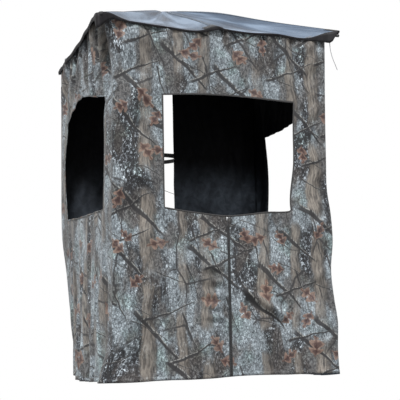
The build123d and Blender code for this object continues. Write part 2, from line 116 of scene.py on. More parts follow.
def through(value, *points):
    """A smooth curve through a few points (x, y), x rising."""
    xs, ys = np.array(points, float).T
    slopes = np.gradient(ys, xs)
    value = np.clip(value, xs[0], xs[-1])
    i = np.clip(np.searchsorted(xs, value) - 1, 0, len(xs) - 2)
    gap = xs[i + 1] - xs[i]
    t = (value - xs[i]) / gap
    return ((1 + 2 * t) * (1 - t) ** 2 * ys[i] + t * (1 - t) ** 2 * gap * slopes[i]
            + t * t * (3 - 2 * t) * ys[i + 1] + t * t * (t - 1) * gap * slopes[i + 1])


def waves(u, v, *rows):
    """Soft folds: each row is (height, spacing, lean, phase). Folds run along v, leaning by u per v."""
    total = 0 * u
    for height, spacing, lean, phase in rows:
        turn = 2 * pi * ((u + lean * v) / spacing + phase)
        total = total + height * np.sin(turn + 0.7 * np.sin(0.43 * turn + 0.38 * v / spacing + phase))
    return total


def lines(step, *stops):
    """Grid lines about a step apart, with one on each stop."""
    found = []
    for here, after in zip(stops, stops[1:]):
        count = max(1, round(abs(after - here) / step))
        found.extend(np.linspace(here, after, count, endpoint=False))
    return np.array(found + [stops[-1]])


# ---- materials ----
class Value:
    """One output of a material's node, which plain arithmetic turns into more nodes."""

    def __init__(self, graph, socket):
        self.graph, self.socket = graph, socket

    def __add__(self, other):
        return self.graph.math("ADD", self, other)

    def __sub__(self, other):
        return self.graph.math("SUBTRACT", self, other)

    def __rsub__(self, other):
        return self.graph.math("SUBTRACT", other, self)

    def __mul__(self, other):
        return self.graph.math("MULTIPLY", self, other)

    def __truediv__(self, other):
        return self.graph.math("DIVIDE", self, other)

    __radd__, __rmul__ = __add__, __mul__


class Graph:
    """A material and short calls for its nodes."""

    def __init__(self, name, **settings):
        self.material = bpy.data.materials.new(name)
        self.material.use_nodes = True
        self.tree = self.material.node_tree
        self.shader = self.tree.nodes["Principled BSDF"]
        for key, value in settings.items():
            self.put(self.shader.inputs[key.replace("_", " ")], value)

    def put(self, socket, value):
        if isinstance(value, Value):
            self.tree.links.new(value.socket, socket)
        elif socket.type == "RGBA":
            socket.default_value = (*value, 1)
        else:
            socket.default_value = value

    def node(self, kind, out, inputs, **settings):
        made = self.tree.nodes.new("ShaderNode" + kind)
        for key, value in settings.items():
            setattr(made, key, value)
        for key, value in inputs.items():
            self.put(made.inputs[key], value)
        return Value(self, made.outputs[out])

    def math(self, operation, *values):
        return self.node("Math", 0, dict(enumerate(values)), operation=operation)

    def vector(self, operation, *values):
        return self.node("VectorMath", 0, dict(enumerate(values)), operation=operation)

    def uv(self):
        return self.node("UVMap", 0, {}, uv_map="print")

    def place(self):
        """Where a point is on its own piece, in metres."""
        return self.node("TexCoord", "Object", {})

    def split(self, vector):
        parts = self.node("SeparateXYZ", 0, {0: vector}).socket.node
        return Value(self, parts.outputs[0]), Value(self, parts.outputs[1])

    def join(self, x, y, z=0.0):
        return self.node("CombineXYZ", 0, {0: x, 1: y, 2: z})

    def noise(self, vector, scale, detail=2.0, rough=0.5, out="Fac", bend=0.0):
        inputs = {"Vector": vector, "Scale": scale, "Detail": detail, "Roughness": rough, "Distortion": bend}
        return self.node("TexNoise", out, inputs)

    def cells(self, vector, scale, out="Distance", feature="F1", spread=1.0):
        inputs = {"Vector": vector, "Scale": scale, "Randomness": spread}
        return self.node("TexVoronoi", out, inputs, voronoi_dimensions="2D", feature=feature)

    def rise(self, value, start, end):
        """0 before start and 1 after end."""
        inputs = {"Value": value, "From Min": start, "From Max": end}
        return self.node("MapRange", 0, inputs, interpolation_type="SMOOTHSTEP")

    def ramp(self, value, *stops):
        made = self.node("ValToRGB", 0, {0: value})
        band = made.socket.node.color_ramp
        while len(band.elements) < len(stops):
            band.elements.new(1.0)
        for element, (where, colour) in zip(band.elements, stops):
            element.position = where
            element.color = (*colour, 1)
        return made

    def mix(self, share, low, high, blend="MIX"):
        made = self.tree.nodes.new("ShaderNodeMix")
        made.data_type, made.blend_type = "RGBA", blend
        for index, value in ((0, share), (6, low), (7, high)):
            self.put(made.inputs[index], value)
        return Value(self, made.outputs[2])

    def finish(self, colour, height=None, depth=0.0005, rough=None):
        self.put(self.shader.inputs["Base Color"], colour)
        if rough is not None:
            self.put(self.shader.inputs["Roughness"], rough)
        if height is not None:
            bump = self.node("Bump", 0, {"Height": height, "Strength": 1.0, "Distance": depth})
            self.put(self.shader.inputs["Normal"], bump)
        return self.material


def sticks(g, at, angle, length, gap, radius, shown):
    """Scattered straight branches: how much of one is here, and where across it, from -1 to 1."""
    turned = g.node("VectorRotate", 0, {"Vector": at, "Angle": angle}, rotation_type="Z_AXIS")
    x, y = g.split(turned)
    grid = g.join(x / length, y / gap)
    middle = g.cells(grid, 1.0, out="Position", spread=0.7)
    pick = g.split(g.cells(grid, 1.0, out="Color", spread=0.7))[0]
    dx, dy = g.split(g.vector("SUBTRACT", grid, middle))
    half = radius * (0.75 - dx)
    across = dy * gap / half
    body = g.rise(1.0 - g.math("ABSOLUTE", across), 0.0, 0.3)
    ends = g.rise(0.46 - g.math("ABSOLUTE", dx), 0.0, 0.1)
    return body * ends * g.math("LESS_THAN", pick, shown), across


def leaves(g, at, scale, share, half):
    """Scattered oak leaves: how much of one is here, how near its edge, and how near a vein."""
    middle = g.cells(at, scale, out="Position", spread=0.75)
    pick = g.split(g.cells(at, scale, out="Color", spread=0.75))
    away = g.vector("SUBTRACT", at, middle)
    local = g.node("VectorRotate", 0, {"Vector": away, "Angle": pick[0] * 6.28}, rotation_type="Z_AXIS")
    x, y = g.split(local)
    x, y = x / half, g.math("ABSOLUTE", y) / half
    lobes = g.math("ABSOLUTE", g.math("SINE", x * 4.6 + 0.5 - y * 1.9))
    width = (1.0 - x * x) * (0.17 + lobes * 0.46)
    inside = width - y
    shown = g.math("LESS_THAN", pick[1], share)
    mask = g.rise(inside, -0.02, 0.08) * shown
    veins = g.rise(g.math("ABSOLUTE", g.math("SINE", (x - y * 0.9) * 9.0)), 0.35, 0.0)
    spine = g.rise(y, 0.1, 0.02)
    return mask, inside, g.math("MAXIMUM", veins * 0.6, spine)


def bark(g, uv, x, y):
    """Light bark with dark specks, and dark bark with pale flecks, in tall patches."""
    fine = g.noise(g.join(x, y * 0.62), 112.0, 4.0, 0.62, bend=0.9)
    broad = g.noise(g.join(x, y * 0.5), 24.0, 3.0, 0.6, bend=0.5)
    speck = fine * 0.68 + broad * 0.32
    pale = g.ramp(speck, (0.36, (0.026, 0.029, 0.033)), (0.43, (0.105, 0.118, 0.128)),
                  (0.52, (0.185, 0.207, 0.222)), (0.63, (0.36, 0.4, 0.425)))
    dark = g.ramp(speck, (0.46, (0.012, 0.012, 0.014)), (0.515, (0.04, 0.043, 0.048)),
                  (0.56, (0.13, 0.143, 0.156)), (0.62, (0.44, 0.48, 0.51)))
    patch = g.noise(g.join(x, y * 0.48), 5.2, 2.0, 0.5)
    mixed = g.mix(g.rise(patch, 0.49, 0.58), pale, dark)
    crack = g.cells(g.join(x * 1.3 + broad * 0.03, y), 46.0, feature="DISTANCE_TO_EDGE")
    mixed = g.mix(g.rise(crack, 0.1, 0.02) * 0.55, mixed, (0.022, 0.022, 0.025))
    shade = g.rise(g.noise(g.join(x, y * 0.55), 9.0, 2.0, 0.5), 0.48, 0.6) * 0.76
    mixed = g.mix(shade, mixed, g.mix(g.rise(fine, 0.4, 0.6), (0.03, 0.027, 0.027), (0.095, 0.086, 0.08)))
    mixed = g.mix(1.0, mixed, (1.22, 1.22, 1.22), "MULTIPLY")
    tint = g.rise(g.noise(uv, 7.0, 2.0), 0.5, 0.72)
    return g.mix(tint * 0.6, mixed, g.mix(1.0, mixed, (0.86, 1.0, 0.92), "MULTIPLY"))


# trunks: spacing, shift, half width; branches: angle, length, gap, radius, share shown;
# leaves: shift, scale, half length, share shown, dull and bright colour
TRUNKS = ((0.325, 0.11, 0.042), (0.65, 0.245, 0.033), (0.975, 0.43, 0.055))
BRANCHES = ((0.72, 0.42, 0.23, 0.017, 0.8), (-0.38, 0.36, 0.27, 0.0095, 0.7),
            (1.25, 0.25, 0.21, 0.006, 0.6), (0.4, 0.3, 0.16, 0.0035, 0.6))
LEAVES = (((0.0, 0.0, 0.0), 4.7, 0.056, 0.55, (0.05, 0.024, 0.021), (0.15, 0.086, 0.07)),
          ((3.7, 1.3, 0.0), 3.7, 0.063, 0.5, (0.07, 0.036, 0.03), (0.2, 0.138, 0.114)))


def camo_print():
    """Printed polyester: grey bark, upright trunks, leaning branches, twigs and rust-coloured oak leaves."""
    g = Graph("camo_print", Roughness=0.8, Sheen_Weight=0.08, Sheen_Roughness=0.5, Specular_IOR_Level=0.25)
    uv = g.uv()
    drift = g.vector("SUBTRACT", g.noise(uv, 4.4, 4.0, out="Color"), (0.5, 0.5, 0.5))
    at = g.vector("MULTIPLY_ADD", drift, (0.075, 0.1, 0.0), uv)
    x, y = g.split(at)
    colour = bark(g, uv, *g.split(uv))
    grain = g.noise(g.join(x * 7.0, y), 15.0, 4.0, 0.65)
    for spacing, shift, half in TRUNKS:
        across = g.math("WRAP", x + shift, spacing / 2, -spacing / 2) / half
        round_off = across * across
        gaps = g.noise(g.join(x * 0.3 + shift * 7, y + shift * 9), 3.1, 1.0)
        ragged = 1.0 - round_off + g.noise(uv, 55.0, 2.0) * 0.5 - 0.25
        there = g.rise(ragged, 0.0, 0.7) * g.rise(gaps, 0.43, 0.56)
        lit = grain * 1.7 - 0.16 - g.rise(across, -0.3, 1.0) * 0.3 - round_off * 0.1
        wood = g.ramp(lit, (0.24, (0.035, 0.032, 0.031)), (0.5, (0.105, 0.094, 0.084)),
                      (0.8, (0.23, 0.208, 0.184)))
        outline = g.rise(round_off, 0.4, 1.0) * 0.5
        colour = g.mix(there * 0.82, colour, g.mix(outline, wood, (0.03, 0.028, 0.028)))
    for angle, length, gap, radius, shown in BRANCHES:
        body, across = sticks(g, at, angle, length, gap, radius, shown)
        edge = g.rise(across, 0.25, 0.7) * g.rise(grain, 0.42, 0.56)
        colour = g.mix(body * 0.92, colour, g.mix(edge, (0.03, 0.029, 0.031), (0.3, 0.3, 0.285)))
    web = g.cells(g.join(x, y * 0.7), 3.6, feature="DISTANCE_TO_EDGE")
    twig = g.rise(web, 0.02, 0.008) * g.rise(g.noise(uv, 6.0, 1.0), 0.46, 0.53)
    colour = g.mix(twig * 0.85, colour, (0.035, 0.034, 0.036))
    ragged = g.vector("MULTIPLY_ADD", g.noise(uv, 60.0, 2.0, out="Color"), (0.016, 0.016, 0.0), at)
    for shift, scale, half, share, dull, bright in LEAVES:
        moved = g.vector("ADD", ragged, shift)
        mask, inside, vein = leaves(g, moved, scale, share, half)
        mottle = g.noise(moved, 34.0, 3.0, 0.6) - g.rise(inside, 0.15, 0.5) * 0.16
        tint = g.ramp(mottle, (0.36, dull), (0.56, bright))
        leaf = g.mix(g.rise(inside, 0.42, 0.0) * 0.65, tint, (0.3, 0.225, 0.182))
        leaf = g.mix(vein * 0.65, leaf, (0.05, 0.02, 0.017))
        colour = g.mix(mask * 0.84, colour, leaf)
    colour = g.node("Gamma", 0, {"Color": colour, "Gamma": 1.22})
    worn = g.ramp(g.noise(uv, 2.3, 3.0), (0.3, (0.7, 0.71, 0.72)), (0.7, (0.9, 0.9, 0.9)))
    colour = g.mix(1.0, colour, worn, "MULTIPLY")
    u, v = g.split(uv)
    weave = g.math("SINE", u * 5200) * g.math("SINE", v * 5200)
    creases = g.noise(uv, 26.0, 4.0, 0.6, bend=0.6)
    return g.finish(colour, weave * 0.1 + creases * 1.6, 0.0016)


def dark_lining():
    """The cabin's black coated inside, with painted light: paler towards the hem, as if lit through the open
    bottom, and paler still on the right side's rear panels.
    """
    g = Graph("black_lining", Roughness=0.6, Specular_IOR_Level=0.05)
    uv = g.uv()
    creases = g.noise(uv, 22.0, 4.0, 0.6, bend=0.8)
    fine = g.noise(uv, 900.0, 2.0)
    along, height = g.split(uv)
    lining_black = g.ramp(creases, (0.3, (0.001, 0.0011, 0.0014)), (0.7, (0.0026, 0.0028, 0.0036)))
    # painted light: the lining's colour where light from the open bottom falls on it
    lit_from_below_colour = g.ramp(creases, (0.3, (0.05, 0.06, 0.074)), (0.7, (0.105, 0.125, 0.155)))
    # painted light: the right side's rear panels get more, as light through the left window falls on them
    right_rear_lit_more = g.rise(along, 1.6, 1.75)
    drape = g.noise(g.join(along + height * 0.45, height * 0.22), 8.0, 2.0)
    light_streaks = 0.72 + g.rise(drape, 0.42, 0.6) * 0.5
    # share of painted light: rising towards the hem, more at the rear right, in soft diagonal streaks
    painted_light_share = g.math("MINIMUM", g.rise(0.0 - height, 0.85, 1.6) * (0.55 + right_rear_lit_more * 2.1), 0.62) * light_streaks
    colour = g.mix(painted_light_share, lining_black, lit_from_below_colour)
    return g.finish(colour, creases * 1.4 + drape * 5.0 + fine * 0.1, 0.0016)


def roof_top():
    """Blue-grey coated nylon with a satin face, creased where it was folded, with painted highlight streaks
    along the creases.
    """
    g = Graph("roof_satin", Roughness=0.46, Coat_Weight=0.15, Coat_Roughness=0.4, Specular_IOR_Level=0.4)
    uv = g.uv()
    x, y = g.split(uv)
    creases_and_highlights = g.noise(g.join(x, y * 0.3), 6.5, 4.0, 0.5, bend=0.25)
    fine = g.math("SINE", x * 3900) * g.math("SINE", y * 3900)
    # partly the cloth's blue, partly painted highlight: the colour runs from dark to pale with the crease
    # noise, standing in for the satin's reflections
    colour = g.ramp(creases_and_highlights, (0.36, (0.012, 0.02, 0.036)), (0.5, (0.028, 0.046, 0.074)),
                    (0.64, (0.09, 0.122, 0.168)))
    colour = g.mix(g.rise(g.noise(uv, 140.0, 3.0), 0.62, 0.75) * 0.12, colour, (0.3, 0.33, 0.36))
    return g.finish(colour, creases_and_highlights * 4.0 + fine * 0.05, 0.003)


def roof_under():
    """The roof's dark underside and its bound edge."""
    g = Graph("roof_dark_side", Roughness=0.65, Specular_IOR_Level=0.15)
    uv = g.uv()
    shade = g.noise(uv, 30.0, 4.0, 0.6)
    colour = g.ramp(shade, (0.3, (0.0035, 0.0033, 0.0038)), (0.7, (0.011, 0.01, 0.0115)))
    return g.finish(colour, shade + g.noise(uv, 800.0) * 0.1, 0.001)


def woven(name, low, high, pitch, depth, rough=0.75):
    """Narrow woven tape or webbing: ribs across, flecked."""
    g = Graph(name, Roughness=rough, Sheen_Weight=0.04, Sheen_Roughness=0.4, Specular_IOR_Level=0.3)
    at = g.place()
    parts = g.node("SeparateXYZ", 0, {0: at}).socket.node
    x, y, z = (Value(g, socket) for socket in parts.outputs)
    ribs = g.math("SINE", (x + y) * (2 * pi / pitch)) * g.math("SINE", z * (2 * pi / pitch))
    fleck = g.noise(at, 420.0, 3.0, 0.6)
    return g.finish(g.ramp(fleck, (0.35, low), (0.7, high)), ribs * 0.5 + fleck * 0.5, depth)


def hard(name, low, high, rough, metallic=0.0, grain=300.0, depth=0.0002):
    """Painted or plated metal, moulded plastic or rubber: mottled, with a fine surface."""
    g = Graph(name, Metallic=metallic)
    at = g.place()
    mottle = g.noise(at, grain, 3.0, 0.6)
    wear = g.noise(at, 18.0, 4.0, 0.65)
    colour = g.mix(g.rise(wear, 0.45, 0.7) * 0.6, low, high)
    return g.finish(colour, mottle, depth, rough=mottle * 0.15 + wear * 0.12 + (rough - 0.13))


CAMO = camo_print()
LINING = dark_lining()
FABRIC = (CAMO, LINING)
ROOF_TOP, ROOF_UNDER = roof_top(), roof_under()
BINDING = woven("dark_binding", (0.01, 0.01, 0.01), (0.03, 0.029, 0.03), 0.0016, 0.0003)
WEBBING = woven("black_webbing", (0.01, 0.01, 0.011), (0.03, 0.03, 0.032), 0.0022, 0.0006)
ZIP_TAPE = woven("zipper_tape", (0.004, 0.005, 0.006), (0.013, 0.015, 0.018), 0.0011, 0.0002, 0.8)
THREAD = woven("thread", (0.03, 0.029, 0.027), (0.075, 0.072, 0.068), 0.0008, 0.0001)
PALE_CORD = woven("pale_cord", (0.14, 0.14, 0.15), (0.28, 0.28, 0.29), 0.0016, 0.0004)
DARK_CORD = woven("dark_cord", (0.015, 0.014, 0.013), (0.04, 0.037, 0.034), 0.0016, 0.0004)
POWDER = hard("powder_coat", (0.012, 0.012, 0.013), (0.022, 0.022, 0.023), 0.5, grain=900.0)
ZINC = hard("zinc_plate", (0.42, 0.43, 0.45), (0.6, 0.6, 0.6), 0.38, 1.0, 500.0, 0.0001)
NYLON = hard("moulded_nylon", (0.014, 0.014, 0.015), (0.026, 0.026, 0.028), 0.46, grain=1200.0, depth=0.0001)
RUBBER = hard("rubber", (0.01, 0.01, 0.01), (0.022, 0.021, 0.02), 0.78, grain=700.0)


# ---- cords, each along the points the CAD gives it ----
CORNER_CORD = [(0.652, -1.192, -0.352), (0.653, -1.193, -0.386), (0.658, -1.194, -0.420),
               (0.668, -1.194, -0.452), (0.682, -1.193, -0.482), (0.695, -1.191, -0.512)]
SLOT_CORD = [(0.170, -0.1475, -1.158), (0.132, -0.151, -1.128), (0.098, -0.155, -1.108),
             (0.066, -0.157, -1.096), (0.034, -0.156, -1.086), (0.004, -0.154, -1.075),
             (-0.024, -0.152, -1.069), (-0.050, -0.151, -1.068)]
FOLD = {"joint": "rib_fold_centre", "axis": (0, 1, 0), "anchor": (0, -0.250, 0), "keep": 0.12}
FLAP_FOLD = {**FOLD, "keep": 0.111}       # the front flaps stay behind the doors
SPLIT_Y = FOLD["anchor"][1]


def spline(name, points, radius):
    """A smooth line near the points, as thick as its radius says."""
    curve = bpy.data.curves.new(name, "CURVE")
    curve.dimensions = "3D"
    curve.bevel_depth, curve.bevel_resolution, curve.resolution_u = radius, 4, 10
    curve.use_fill_caps = True
    strand = curve.splines.new("NURBS")
    strand.points.add(len(points) - 1)
    for slot, point in zip(strand.points, points):
        slot.co = (*point, 1)
    strand.order_u, strand.use_endpoint_u = 3, True
    return make(name, curve)


def as_mesh(curve_object):
    """A mesh of a curve object, as its modifiers and bevel give it."""
    bpy.context.view_layer.update()
    return bpy.data.meshes.new_from_object(curve_object)


slot_cord = spline("slot_tie_line", SLOT_CORD, 0.0015)
slot_cord.data.materials.append(DARK_CORD)
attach(slot_cord, "rear_flap_right")
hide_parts("slot_tie_cord")

corner_line = spline("corner_route", CORNER_CORD, 0.0)
corner_path = [tuple(v.co) for v in as_mesh(corner_line).vertices]
corner_line.data.bevel_depth = 0.002
corner_cord = make("corner_tie_line", as_mesh(corner_line))
bpy.data.objects.remove(corner_line)
corner_cord.data.materials.append(PALE_CORD)
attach(corner_cord, "root")
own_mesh(corner_cord)
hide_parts("corner_tie_cord")


# ---- the cabin's measures, from the frame ----
front_low, front_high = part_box("front_wall")
side_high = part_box("side_wall_right")[1]
tape_low, tape_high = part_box("zipper_tape_left")
HEM, WALL_TOP, FRONT, CORNER = front_low.z, front_high.z, front_low.y, front_high.x
REAR_X, REAR_Y = side_high.x, side_high.y
HINGE_L = JOINTS["door_swing_left"]["pos_m"][0]
HINGE_R = JOINTS["door_swing_right"]["pos_m"][0]
ZIP_X = tape_high.x + 0.0003
WIN_L, WIN_R = HINGE_L, 0.405           # the window's edges before the cloth is pulled out of shape
SILL, LINTEL = -1.305, -0.705
SIDE_WIN = (-1.035, -0.305)
STEP = 0.012                            # the cloth's grid
CLOTH_T = 0.0015
CUT_HEIGHT = 1.86                       # of the walls


# ---- the roof's shape: from the crest to a rim with tips at the ribs ----
CREST_Z, CREST_Y, CREST_X = 0.088, -0.155, 0.045
TIP_L, TIP_C, TIP_R = 0.33, 0.515, 0.70     # where the ribs meet the rim, along it
RIM = (
    (0.00, -0.662, -0.080, -0.336), (0.08, -0.668, -0.330, -0.325), (0.16, -0.664, -0.620, -0.311),
    (0.23, -0.670, -0.850, -0.294), (0.29, -0.684, -1.060, -0.295), (0.33, -0.702, -1.222, -0.322),
    (0.365, -0.620, -1.202, -0.309), (0.40, -0.512, -1.193, -0.342), (0.44, -0.375, -1.190, -0.343),
    (0.50, -0.120, -1.190, -0.349), (0.515, -0.045, -1.200, -0.325), (0.535, 0.020, -1.196, -0.339),
    (0.57, 0.150, -1.190, -0.336), (0.61, 0.340, -1.190, -0.337), (0.655, 0.545, -1.192, -0.333),
    (0.68, 0.640, -1.206, -0.302), (0.70, 0.692, -1.234, -0.296), (0.74, 0.678, -1.060, -0.300),
    (0.82, 0.663, -0.760, -0.300), (0.91, 0.657, -0.400, -0.318), (1.00, 0.662, -0.080, -0.334))


BAYS = ((0, TIP_L, 0.020), (TIP_L, TIP_C, 0.026), (TIP_C, TIP_R, 0.022), (TIP_R, 1, 0.020))  # and their sag


def rim(a):
    """Where the roof's edge is, a going round it from 0 to 1."""
    return [through(a, *[(point[0], point[i]) for point in RIM]) for i in (1, 2, 3)]


def roof(a, r):
    """A point of the roof, r going from 0 at the crest to 1 at the rim."""
    rx, ry, rz = rim(a)
    cx, cy = CREST_X * (2 * a - 1), CREST_Y - 0.012 * np.sin(pi * a)
    fall = (np.sqrt(r * r + 0.0016) - 0.04) / 0.9608
    x, y = cx + (rx - cx) * r, cy + (ry - cy) * r
    z = CREST_Z + (rz - CREST_Z) * fall
    arch = np.sin(pi * np.clip(r, 0, 1))
    z += 0.022 * hump(a, TIP_R, 0.10) * hump(r, 0.32, 0.22)
    for start, end, depth in BAYS:
        inside = np.clip((a - start) / (end - start), 0, 1)
        z -= depth * arch * np.sin(pi * inside)
    z += arch ** 0.6 * (0.0035 * np.sin(a * 71 + 2 * r) + 0.0025 * np.sin(a * 133 + 5 * r))
    off_tips = (1 - hump(a, TIP_L, 0.02)) * (1 - hump(a, TIP_R, 0.02))
    return x, y, z + 0.004 * ease(r, 0.7, 1.0) * np.sin(a * 96) * off_tips


RIM_ROUND = np.linspace(0, 1, 401)
CORNER_TOP = -0.318


def under_roof(along, side):
    """The height of the roof over a wall: over the front where side is 0, else over that side wall."""
    rim_x, rim_y, _ = rim(RIM_ROUND)
    if side:
        share = (side * CORNER - CREST_X * (2 * RIM_ROUND - 1)) / (rim_x - CREST_X * (2 * RIM_ROUND - 1))
        there = (RIM_ROUND > TIP_R) if side > 0 else (RIM_ROUND < TIP_L)
    else:
        share = (FRONT - CREST_Y) / (rim_y - CREST_Y)
        there = (RIM_ROUND > TIP_L) & (RIM_ROUND < TIP_R)
    x, y, z = roof(RIM_ROUND[there], np.clip(share[there], 0, 1))
    order = np.argsort(y if side else x)
    height = np.interp(along, (y if side else x)[order], z[order]) - (0.014 if side else 0.004)
    to_corner = ease(FRONT + 0.22 - along, 0, 0.22) if side else ease(np.abs(along), CORNER - 0.16, CORNER)
    return height + (CORNER_TOP - height) * to_corner


def corner_x(side, z):
    """Where the front corner hangs at a height. The cabin is slack, so the two sides differ."""
    if side > 0:
        return through(z, (-2.2, 0.646), (-2.07, 0.641), (-1.91, 0.646), (-1.80, 0.630), (-1.64, 0.617),
                       (-1.47, 0.634), (-1.335, 0.628), (-1.196, 0.610), (-1.03, 0.611),
                       (-0.69, 0.618), (-0.345, 0.630))
    return -through(z, (-2.2, 0.688), (-2.12, 0.660), (-2.03, 0.626), (-1.9, 0.621), (-1.59, 0.615),
                    (-1.29, 0.619), (-0.87, 0.610), (-0.55, 0.608), (-0.345, 0.622))


def hem_drop(along):
    """How the lower edge wavers, along the way round the cabin from the front's middle."""
    return 0.004 * np.sin(along * 5.1 + 0.6) + 0.002 * np.sin(along * 13.7)


def front_wall(x, z):
    """The front, doors and all: a place for each point of the flat cloth."""
    px = x + (corner_x(1, z) - CORNER) * ease(x, 0.40, CORNER)
    px += (corner_x(-1, z) + CORNER) * ease(-x, 0.40, CORNER)
    beside = ease(x, -0.50, WIN_L) * (1 - ease(x, WIN_R, 0.53))
    top = through(x, (-0.335, -0.720), (-0.15, -0.706), (0.053, -0.702), (0.25, -0.708), (0.42, -0.716))
    sill = through(x, (-0.335, -1.314), (-0.287, -1.321), (-0.127, -1.340), (0.013, -1.350), (0.13, -1.340),
                   (0.235, -1.326), (0.375, -1.318), (0.405, -1.312))
    pz = z + (top - LINTEL) * hump(z, LINTEL, 0.14) * beside + (sill - SILL) * hump(z, SILL, 0.16) * beside
    edge = through(z, (-1.4, 0.0), (-1.30, -0.022), (-1.05, 0.003), (-0.83, 0.008), (-0.705, 0.015),
                   (-0.5, 0.0))
    px += edge * np.clip((x - HINGE_R) / (WIN_R - HINGE_R), 0, 1) * (1 - ease(x, WIN_R, 0.56))
    pz += hem_drop(x) * ease(-z, 1.9, 2.2) + 0.006 * ease(x, -0.5, 0.62) * ease(-z, 1.9, 2.2)
    pz += (under_roof(px, 0) - WALL_TOP) * ease(z, -0.62, WALL_TOP)

    low = ease(-z, 1.33, 1.5)
    out = 0.010 * low * np.sin(pi * ease(x, HINGE_L, ZIP_X))
    out += 0.009 * low * np.sin(pi * ease(x, ZIP_X, HINGE_R))
    out += 0.003 * ease(z, -0.72, -0.42) * (1 + np.sin(x * 41 + 1.2 * np.sin(x * 11)))
    out += 0.0065 * waves(x, z, (1, 0.21, 0.25, 0.1), (0.6, 0.34, -0.4, 0.4)) * low
    out += 0.0055 * waves(x, z, (1, 0.085, 0.10, 0.3), (0.7, 0.16, -0.25, 0.7)) * ease(z, -0.74, -0.42)
    ripple = hump(x, -0.070, 0.070) * ease(-z, 1.54, 1.62) * (1 - ease(-z, 1.86, 1.98))
    out += 0.0085 * ripple * (1 + np.sin(2 * pi * z / 0.066 + 9 * x + 0.8 * np.sin(z * 17)))
    crease = (z + 1.765) + (x - 0.13) * 0.62
    out += 0.026 * hump(crease, 0.0, 0.024) * ease(x, 0.05, 0.12) * (1 - ease(x, 0.30, 0.42))
    out -= 0.012 * hump(crease, -0.045, 0.025) * ease(x, 0.05, 0.14) * (1 - ease(x, 0.28, 0.40))
    out += 0.009 * waves(z, x, (1, 0.30, 0.3, 0.2), (0.5, 0.13, -0.6, 0.6)) * ease(x, WIN_R, 0.56)
    out += 0.009 * waves(z, x, (1, 0.36, -0.5, 0.7), (0.5, 0.15, 0.4, 0.1)) * ease(-x, -WIN_L, 0.48)
    pucker = hump(x, ZIP_X, 0.035) * low
    out += 0.0022 * pucker * np.sin(2 * pi * z / 0.071 + 1.3 * np.sin(z * 9))
    keep_flat = 1 - 0.9 * ease(-z, 1.30, 1.38) * np.maximum(hump(x, HINGE_L, 0.022), hump(x, HINGE_R, 0.022))
    keep_flat = keep_flat * (1 - 0.92 * ease(-z, 1.33, 1.36) * hump(x, ZIP_X, 0.012))
    keep_flat = keep_flat * ease(CORNER - np.abs(x), 0, 0.05)
    out = np.maximum(out, -0.003 - 0.02 * (1 - low))         # clear of the flaps that hang behind the doors
    py = FRONT - out * keep_flat
    return px, py, pz


def side_wall(side):
    """A side wall's place function. Its grid runs along y and z."""
    def place(y, z):
        rear = np.where(y > SPLIT_Y, (y - SPLIT_Y) / (REAR_Y - SPLIT_Y), 0)
        flat = CORNER + (REAR_X - CORNER) * (y - FRONT) / (REAR_Y - FRONT)
        out = (corner_x(side, z) * side - CORNER) * (1 - ease(y, FRONT, -0.93)) ** 1.5
        if side < 0:
            pull = through(z, (-2.2, 0.090), (-2.05, 0.078), (-1.82, 0.050), (-1.58, 0.028),
                           (-1.39, 0.006), (-1.2, 0.0))
        else:
            pull = 0.35 * through(z, (-2.2, 0.090), (-1.82, 0.050), (-1.39, 0.006), (-1.2, 0.0))
        out -= pull * np.clip((y + 0.56) / 0.44, 0, 1) ** 1.25
        out += 0.024 * hump(z, -0.98, 0.30) * hump(y, -0.34, 0.16) * (1 - ease(y, -0.18, REAR_Y))
        out += 0.012 * ease(-z, 1.40, 1.9) * hump(y, -0.78, 0.25)
        fade = ease(y, FRONT, -1.08) * (1 - ease(y, -0.17, REAR_Y))
        fall = 0.35 + 0.65 * ease(-z, 1.35, 2.1)
        hanging = waves(y, z, (0.010, 0.150, 0.10, 0.15), (0.006, 0.071, -0.06, 0.5), (0.006, 0.33, 0.2, 0.3))
        out += fade * fall * hanging
        gather = ease(z, -0.75, -0.42) * ease(y, -0.75, -0.3)
        out += fade * gather * waves(y, z, (0.017, 0.090, 0.42, 0.3), (0.012, 0.17, 0.55, 0.1))
        front_fold = ease(z, -0.95, -0.42) * (1 - ease(y, -0.95, -0.55)) * ease(y, FRONT, -1.10)
        out += front_fold * waves(y, z, (0.024, 0.125, -0.22, 0.75), (0.006, 0.05, -0.1, 0.2))
        lintel = through(y, (-1.05, -0.716), (-0.93, -0.695), (-0.75, -0.648), (-0.60, -0.626),
                         (-0.45, -0.655), (-0.36, -0.705), (-0.30, -0.775))
        if side > 0:
            lintel = through(y, (-1.05, -0.726), (-0.75, -0.722), (-0.50, -0.730), (-0.30, -0.722))
        sill = through(y, (-1.05, -1.314), (-0.8, -1.311), (-0.52, -1.303), (-0.30, -1.290))
        beside = ease(y, -1.14, SIDE_WIN[0]) * (1 - ease(y, SIDE_WIN[1], -0.20))
        pz = z + (lintel - LINTEL) * hump(z, LINTEL, 0.15) * beside * ease(WALL_TOP - z, 0, 0.12)
        pz += (sill - SILL) * hump(z, SILL, 0.12) * beside
        pz += (under_roof(y, side) - WALL_TOP) * ease(z, -0.50, WALL_TOP)
        lower = ease(-z, 1.9, 2.2)
        sag = through(y, (-1.175, 0.0), (-0.9, -0.012), (-0.6, -0.018), (-0.3, -0.002), (-0.105, 0.012))
        pz += (hem_drop(side * (CORNER + y - FRONT)) + sag) * lower
        py = y - pull * 0.35 * rear
        if side > 0:
            past_window = np.clip((y - SIDE_WIN[1]) / (SPLIT_Y - SIDE_WIN[1]), 0, 1)
            py += 0.040 * ease(y, -0.45, SIDE_WIN[1]) * (1 - past_window)
        return side * (flat + out), py, pz
    return place


